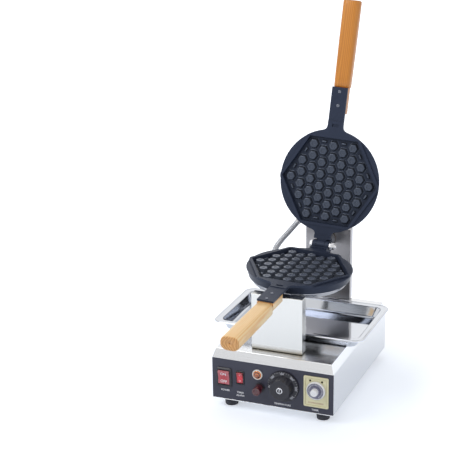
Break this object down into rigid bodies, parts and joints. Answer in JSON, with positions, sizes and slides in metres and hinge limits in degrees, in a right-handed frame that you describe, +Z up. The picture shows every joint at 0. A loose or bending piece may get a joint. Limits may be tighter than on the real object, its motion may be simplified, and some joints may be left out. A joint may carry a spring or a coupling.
{
  "type": "round waffle maker",
  "caption": "Countertop round waffle maker: hinged coated plates with hexagonal bosses and wooden handles roll on a sheet steel base with drip tray, dials and switches.",
  "frame": {"origin": "on the floor under the centre of the bounding box, with the lid open as in the picture", "axes": "+X to the right seen from the control panel, +Y from the panel to the hinge, +Z up"},
  "size_m": [0.315, 0.635, 0.7421],
  "materials": {
    "brushed_steel": "brushed stainless sheet",
    "polished_steel": "polished stainless",
    "coated_aluminium": "cast, dark non-stick coating",
    "panel_black": "satin charcoal",
    "black_plastic": "moulded, fine satin",
    "rubber": "matt",
    "white_plastic": "moulded",
    "cream_plastic": "moulded",
    "power_red": "translucent",
    "alarm_red": "translucent",
    "amber_lens": "translucent",
    "bearing_bronze": "turned",
    "conduit_steel": "wound metal strip",
    "element_steel": "oxidised tube",
    "pale_wood": "varnished",
    "orange_wood": "varnished"
  },
  "bodies": {
    "base": {"housing_shell": "brushed_steel", "control_panel": "panel_black", "bottom_plate": "brushed_steel", "foot_front_left": "rubber", "foot_front_right": "rubber", "foot_rear_left": "rubber", "foot_rear_right": "rubber", "cable_gland": "black_plastic", "terminal_block": "black_plastic", "front_support": "brushed_steel", "rear_upright": "brushed_steel", "upright_cover": "brushed_steel", "bearing_bush": "bearing_bronze", "thermostat_body": "black_plastic", "timer_body": "black_plastic", "timer_frame": "cream_plastic", "timer_dial_ring": "white_plastic", "power_switch_body": "black_plastic", "alarm_switch_body": "black_plastic", "pilot_lamp_ring": "white_plastic", "pilot_lamp_lens": "amber_lens", "alarm_lamp_collar": "black_plastic", "alarm_lamp_cap": "alarm_red"},
    "tray": {"drip_tray": "polished_steel"},
    "mould": {"lower_plate": "coated_aluminium", "lower_heater_cover": "brushed_steel", "lower_heating_element": "element_steel", "lower_handle": "pale_wood", "lower_rivet_inner": "polished_steel", "lower_rivet_outer": "polished_steel", "pivot_shaft": "polished_steel", "shaft_nut": "polished_steel", "hinge_pin": "polished_steel", "hinge_acorn_nut": "polished_steel", "lower_conduit_fitting": "polished_steel", "ribbed_conduit": "conduit_steel"},
    "lid": {"upper_plate": "coated_aluminium", "upper_heater_cover": "brushed_steel", "upper_heating_element": "element_steel", "upper_handle": "orange_wood", "upper_rivet_inner": "polished_steel", "upper_rivet_outer": "polished_steel", "upper_conduit_fitting": "polished_steel"},
    "thermostat_control": {"thermostat_knob": "black_plastic", "thermostat_knob_cap": "polished_steel", "thermostat_spindle": "polished_steel"},
    "timer_control": {"timer_knob": "white_plastic", "timer_spindle": "polished_steel"},
    "power_switch_rocker": {"power_rocker": "power_red"},
    "alarm_switch_rocker": {"alarm_rocker": "alarm_red"}
  },
  "joints": [
    {"name": "mould_roll", "type": "hinge", "parent": "base", "child": "mould", "pos_m": [0, 0.17949, 0.2584], "axis": [0, 1, 0], "range_deg": [-85, 85]},
    {"name": "lid_hinge", "type": "hinge", "parent": "mould", "child": "lid", "pos_m": [0, 0.17949, 0.2584], "axis": [0.9991, 0, -0.0419], "range_deg": [0, 102.4], "deforming": ["ribbed_conduit"]},
    {"name": "tray_slide", "type": "slide", "parent": "base", "child": "tray", "axis": [1, 0, 0], "range_m": [-0.28, 0.28]},
    {"name": "thermostat_turn", "type": "hinge", "parent": "base", "child": "thermostat_control", "pos_m": [0.0235, -0.10931, 0.0685], "axis": [0, 1, 0], "range_deg": [0, 270]},
    {"name": "timer_turn", "type": "hinge", "parent": "base", "child": "timer_control", "pos_m": [0.0904, -0.10931, 0.0707], "axis": [0, 1, 0], "range_deg": [0, 300]},
    {"name": "power_rock", "type": "hinge", "parent": "base", "child": "power_switch_rocker", "pos_m": [-0.0998, -0.11061, 0.0686], "axis": [1, 0, 0], "range_deg": [-14, 0]},
    {"name": "alarm_rock", "type": "hinge", "parent": "base", "child": "alarm_switch_rocker", "pos_m": [-0.0665, -0.10911, 0.0721], "axis": [1, 0, 0], "range_deg": [-14, 0]}
  ]
}
